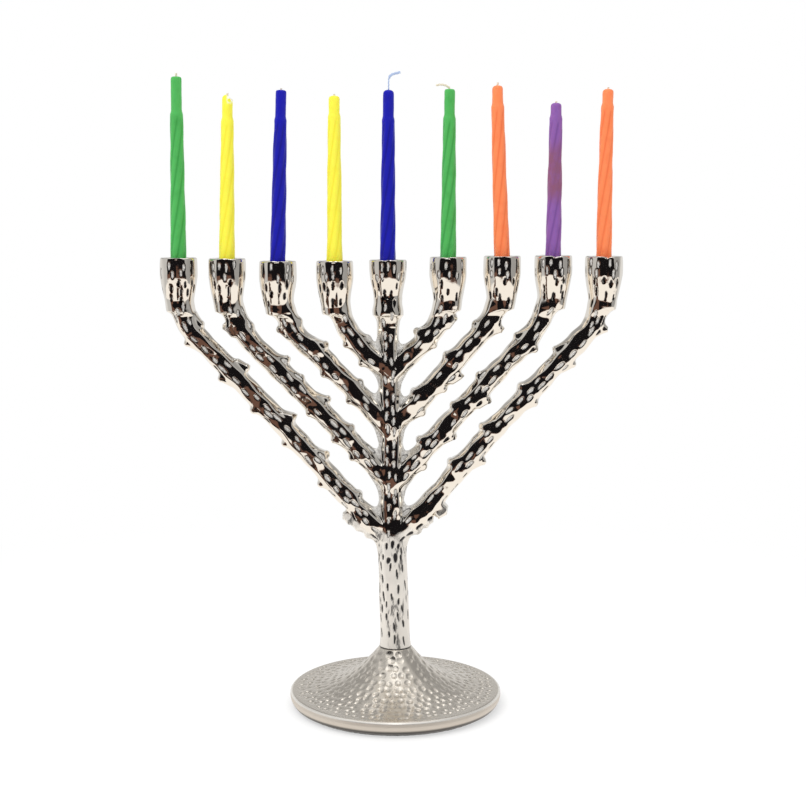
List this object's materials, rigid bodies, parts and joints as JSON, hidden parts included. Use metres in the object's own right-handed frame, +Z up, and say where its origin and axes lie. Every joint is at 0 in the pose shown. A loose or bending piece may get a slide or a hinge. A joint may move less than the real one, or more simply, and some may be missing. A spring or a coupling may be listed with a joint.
{
  "type": "nine-branched tree candlestick",
  "caption": "Cast metal candlestick shaped as a tree, with bark-textured arms, a row of flared cups, a round hammered foot and coloured wax candles that lift out.",
  "frame": {"origin": "middle of the felt pad's underside, on the table", "axes": "+Z up along the trunk, +X along the row of cups to the right of a person facing it, +Y away from that person"},
  "size_m": [0.2546, 0.1198, 0.3535],
  "materials": {
    "polished_aluminium": "mirror-polished ridges over satin dents",
    "hammered_aluminium": "hammered satin",
    "zinc_steel": "zinc plated",
    "felt": "pressed wool felt",
    "wax_green": "dyed paraffin wax",
    "wax_yellow": "dyed paraffin wax",
    "wax_blue": "dyed paraffin wax",
    "wax_orange": "dyed paraffin wax",
    "wax_purple": "dyed paraffin wax",
    "plain_wick": "braided cotton",
    "dyed_wick": "braided cotton, tinted by the wax"
  },
  "bodies": {
    "stand": {"trunk": "polished_aluminium", "arm_1": "polished_aluminium", "arm_2": "polished_aluminium", "arm_3": "polished_aluminium", "arm_4": "polished_aluminium", "arm_6": "polished_aluminium", "arm_7": "polished_aluminium", "arm_8": "polished_aluminium", "arm_9": "polished_aluminium", "base_casting": "hammered_aluminium", "base_bolt": "zinc_steel", "flat_washer": "zinc_steel", "spring_washer": "zinc_steel", "felt_pad": "felt"},
    "candle_1": {"candle_1": "wax_green", "wick_1": "plain_wick"},
    "candle_2": {"candle_2": "wax_yellow", "wick_2": "plain_wick"},
    "candle_3": {"candle_3": "wax_blue", "wick_3": "plain_wick"},
    "candle_4": {"candle_4": "wax_yellow", "wick_4": "plain_wick"},
    "candle_5": {"candle_5": "wax_blue", "wick_5": "dyed_wick"},
    "candle_6": {"candle_6": "wax_green", "wick_6": "plain_wick"},
    "candle_7": {"candle_7": "wax_orange", "wick_7": "plain_wick"},
    "candle_8": {"candle_8": "wax_purple", "wick_8": "plain_wick"},
    "candle_9": {"candle_9": "wax_orange", "wick_9": "plain_wick"}
  },
  "joints": [
    {"name": "lift_candle_1", "type": "slide", "parent": "stand", "child": "candle_1", "axis": [0.007, 0, 1], "range_m": [0, 0.03]},
    {"name": "lift_candle_2", "type": "slide", "parent": "stand", "child": "candle_2", "axis": [0.0192, 0, 0.9998], "range_m": [0, 0.03]},
    {"name": "lift_candle_3", "type": "slide", "parent": "stand", "child": "candle_3", "axis": [0.0314, 0, 0.9995], "range_m": [0, 0.03]},
    {"name": "lift_candle_4", "type": "slide", "parent": "stand", "child": "candle_4", "axis": [0.0035, 0, 1], "range_m": [0, 0.03]},
    {"name": "lift_candle_5", "type": "slide", "parent": "stand", "child": "candle_5", "axis": [0.0052, 0, 1], "range_m": [0, 0.03]},
    {"name": "lift_candle_6", "type": "slide", "parent": "stand", "child": "candle_6", "axis": [0.0052, 0, 1], "range_m": [0, 0.03]},
    {"name": "lift_candle_7", "type": "slide", "parent": "stand", "child": "candle_7", "axis": [-0.0366, 0, 0.9993], "range_m": [0, 0.03]},
    {"name": "lift_candle_8", "type": "slide", "parent": "stand", "child": "candle_8", "axis": [0.0052, 0, 1], "range_m": [0, 0.03]},
    {"name": "lift_candle_9", "type": "slide", "parent": "stand", "child": "candle_9", "axis": [0.007, 0, 1], "range_m": [0, 0.03]}
  ]
}
